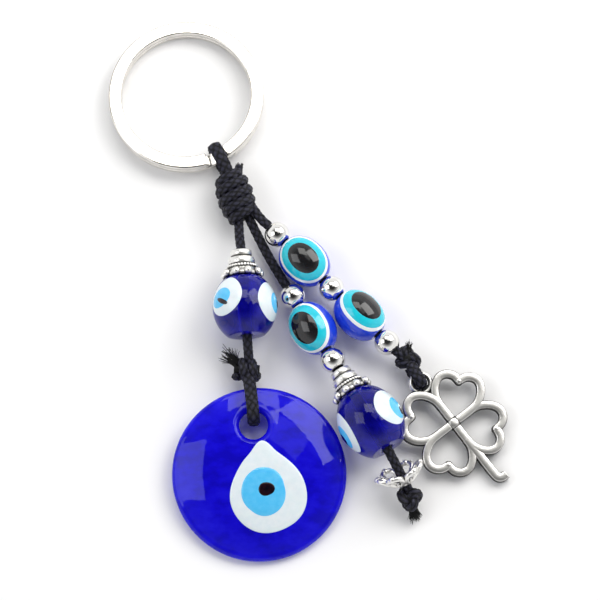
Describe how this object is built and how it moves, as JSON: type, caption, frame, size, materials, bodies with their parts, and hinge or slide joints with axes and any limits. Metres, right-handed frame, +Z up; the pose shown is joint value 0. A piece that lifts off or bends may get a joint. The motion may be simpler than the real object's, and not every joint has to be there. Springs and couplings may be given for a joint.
{
  "type": "evil eye key charm",
  "caption": "Key ring charm: split ring with a lashed cord loop and three beaded cords ending in a glass eye pendant, a flower cap and an openwork clover.",
  "frame": {"origin": "where the key ring's axis meets the surface the charm lies on", "axes": "+Z up from that surface, +Y from the pendants towards the far side of the key ring, +X to the right seen from above with the ring at the top"},
  "size_m": [0.0779, 0.1054, 0.0126],
  "materials": {
    "ring_nickel": "polished nickel plate",
    "waxed_cord": "waxed black cotton",
    "antique_silver": "antique silver plate, dark in the recesses",
    "silver_bead": "polished plate",
    "cobalt_glass": "clear cobalt, fire polished",
    "pendant_cobalt": "translucent cobalt, fire polished",
    "glass_white": "opaque white glass",
    "glass_sky": "opaque sky blue glass",
    "glass_dark": "opaque black glass",
    "resin_blue": "clear-coated blue resin",
    "resin_white": "clear-coated white resin",
    "resin_turquoise": "clear-coated turquoise resin",
    "resin_black": "clear-coated black resin"
  },
  "bodies": {
    "key_ring": {"split_ring": "ring_nickel"},
    "cord_loop": {"ring_loop": "waxed_cord"},
    "lashing": {"lashing_knot": "waxed_cord", "lashing_tail": "waxed_cord"},
    "left_lead": {"left_lead": "waxed_cord"},
    "left_strand": {"left_cord": "waxed_cord", "left_knot": "waxed_cord", "left_knot_tail": "waxed_cord"},
    "left_cap": {"left_cap": "antique_silver"},
    "left_glass": {"left_glass_body": "cobalt_glass", "left_glass_white": "glass_white", "left_glass_iris": "glass_sky", "left_glass_pupil": "glass_dark"},
    "pendant_loop": {"pendant_loop": "waxed_cord"},
    "pendant": {"pendant_glass": "pendant_cobalt", "pendant_drop": "glass_white", "pendant_iris": "glass_sky", "pendant_pupil": "glass_dark"},
    "middle_strand": {"middle_lead": "waxed_cord", "middle_cord": "waxed_cord", "middle_knot": "waxed_cord", "middle_tail": "waxed_cord"},
    "middle_spacer_upper": {"middle_spacer_upper": "silver_bead"},
    "middle_eye": {"middle_eye_body": "resin_blue", "middle_eye_white": "resin_white", "middle_eye_iris": "resin_turquoise", "middle_eye_pupil": "resin_black"},
    "middle_spacer_lower": {"middle_spacer_lower": "silver_bead"},
    "middle_cap": {"middle_cap": "antique_silver"},
    "middle_glass": {"middle_glass_body": "cobalt_glass", "middle_glass_white": "glass_white", "middle_glass_iris": "glass_sky", "middle_glass_pupil": "glass_dark"},
    "flower_cap": {"flower_cap": "antique_silver"},
    "right_lead": {"right_lead": "waxed_cord"},
    "right_strand": {"right_cord": "waxed_cord", "right_knot": "waxed_cord", "right_tail": "waxed_cord"},
    "right_spacer_upper": {"right_spacer_upper": "silver_bead"},
    "right_eye_upper": {"right_eye_upper_body": "resin_blue", "right_eye_upper_white": "resin_white", "right_eye_upper_iris": "resin_turquoise", "right_eye_upper_pupil": "resin_black"},
    "right_spacer_middle": {"right_spacer_middle": "silver_bead"},
    "right_eye_lower": {"right_eye_lower_body": "resin_blue", "right_eye_lower_white": "resin_white", "right_eye_lower_iris": "resin_turquoise", "right_eye_lower_pupil": "resin_black"},
    "right_spacer_lower": {"right_spacer_lower": "silver_bead"},
    "clover_loop": {"clover_loop": "waxed_cord"},
    "clover": {"clover_charm": "antique_silver"}
  },
  "joints": [
    {"name": "loop_travel", "type": "hinge", "parent": "key_ring", "child": "cord_loop", "pos_m": [-0.00005, 0.00009, 0.00215], "axis": [-0.0219, 0.0417, 0.9989], "continuous": true},
    {"name": "knot_swing", "type": "hinge", "parent": "cord_loop", "child": "lashing", "pos_m": [0.00633, -0.01208, 0.0028], "axis": [-0.8858, -0.4641, 0], "range_deg": [-60, 60]},
    {"name": "left_swing", "type": "hinge", "parent": "lashing", "child": "left_lead", "pos_m": [0.01105, -0.0249, 0.0035], "axis": [0, 0, -1], "range_deg": [0, 40], "deforming": ["left_lead"]},
    {"name": "left_lift", "type": "hinge", "parent": "left_lead", "child": "left_strand", "pos_m": [0.01105, -0.0249, 0.0035], "axis": [-1, 0, 0], "range_deg": [0, 70], "deforming": ["left_lead"]},
    {"name": "middle_lift", "type": "hinge", "parent": "lashing", "child": "middle_strand", "pos_m": [0.01105, -0.0249, 0.0035], "axis": [-1, 0, 0], "range_deg": [0, 70], "deforming": ["middle_lead"]},
    {"name": "right_swing", "type": "hinge", "parent": "lashing", "child": "right_lead", "pos_m": [0.01105, -0.0249, 0.0035], "axis": [0, 0, 1], "range_deg": [0, 30], "deforming": ["right_lead"]},
    {"name": "right_lift", "type": "hinge", "parent": "right_lead", "child": "right_strand", "pos_m": [0.01105, -0.0249, 0.0035], "axis": [-1, 0, 0], "range_deg": [0, 70], "deforming": ["right_lead"]},
    {"name": "pendant_flap", "type": "hinge", "parent": "left_strand", "child": "pendant_loop", "pos_m": [0.0126, -0.0553, 0.0037], "axis": [-0.9949, -0.1011, 0], "range_deg": [0, 50], "deforming": ["pendant_loop"]},
    {"name": "pendant_swing", "type": "hinge", "parent": "pendant_loop", "child": "pendant", "pos_m": [0.0132, -0.06483, 0.00202], "axis": [-0.0094, 0.0779, -0.9969], "range_deg": [0, 35]},
    {"name": "clover_flap", "type": "hinge", "parent": "right_strand", "child": "clover_loop", "pos_m": [0.04236, -0.05331, 0.0027], "axis": [-1, 0, 0], "range_deg": [0, 50], "deforming": ["clover_loop"]},
    {"name": "clover_swing", "type": "hinge", "parent": "clover_loop", "child": "clover", "pos_m": [0.04516, -0.05742, 0.0018], "axis": [0.0515, -0.0614, 0.9968], "range_deg": [0, 40]},
    {"name": "left_glass_spin", "type": "hinge", "parent": "left_strand", "child": "left_glass", "pos_m": [0.01157, -0.04247, 0.0064], "axis": [0.0698, -0.9976, 0], "continuous": true},
    {"name": "middle_eye_spin", "type": "hinge", "parent": "middle_strand", "child": "middle_eye", "pos_m": [0.0206, -0.04, 0.0039], "axis": [0.5078, -0.8569, 0.0889], "continuous": true},
    {"name": "middle_glass_spin", "type": "hinge", "parent": "middle_strand", "child": "middle_glass", "pos_m": [0.0206, -0.04, 0.0039], "axis": [0.5078, -0.8569, 0.0889], "continuous": true},
    {"name": "right_eye_upper_spin", "type": "hinge", "parent": "right_strand", "child": "right_eye_upper", "pos_m": [0.0176, -0.028, 0.0045], "axis": [0.7021, -0.712, 0], "continuous": true},
    {"name": "right_eye_lower_spin", "type": "hinge", "parent": "right_strand", "child": "right_eye_lower", "pos_m": [0.0176, -0.028, 0.0045], "axis": [0.7021, -0.712, 0], "continuous": true},
    {"name": "flower_cap_spin", "type": "hinge", "parent": "middle_strand", "child": "flower_cap", "pos_m": [0.04166, -0.07606, 0.00455], "axis": [0.4289, -0.8066, -0.4067], "continuous": true},
    {"name": "left_cap_spin", "type": "hinge", "parent": "left_strand", "child": "left_cap", "pos_m": [0.01157, -0.04247, 0.0064], "axis": [0.0698, -0.9976, 0], "continuous": true},
    {"name": "middle_cap_spin", "type": "hinge", "parent": "middle_strand", "child": "middle_cap", "pos_m": [0.0206, -0.04, 0.0039], "axis": [0.5078, -0.8569, 0.0889], "continuous": true},
    {"name": "middle_spacer_upper_spin", "type": "hinge", "parent": "middle_strand", "child": "middle_spacer_upper", "pos_m": [0.0206, -0.04, 0.0039], "axis": [0.5078, -0.8569, 0.0889], "continuous": true},
    {"name": "middle_spacer_lower_spin", "type": "hinge", "parent": "middle_strand", "child": "middle_spacer_lower", "pos_m": [0.0206, -0.04, 0.0039], "axis": [0.5078, -0.8569, 0.0889], "continuous": true},
    {"name": "right_spacer_upper_spin", "type": "hinge", "parent": "right_strand", "child": "right_spacer_upper", "pos_m": [0.0176, -0.028, 0.0045], "axis": [0.7021, -0.712, 0], "continuous": true},
    {"name": "right_spacer_middle_spin", "type": "hinge", "parent": "right_strand", "child": "right_spacer_middle", "pos_m": [0.0176, -0.028, 0.0045], "axis": [0.7021, -0.712, 0], "continuous": true},
    {"name": "right_spacer_lower_spin", "type": "hinge", "parent": "right_strand", "child": "right_spacer_lower", "pos_m": [0.0176, -0.028, 0.0045], "axis": [0.7021, -0.712, 0], "continuous": true}
  ]
}
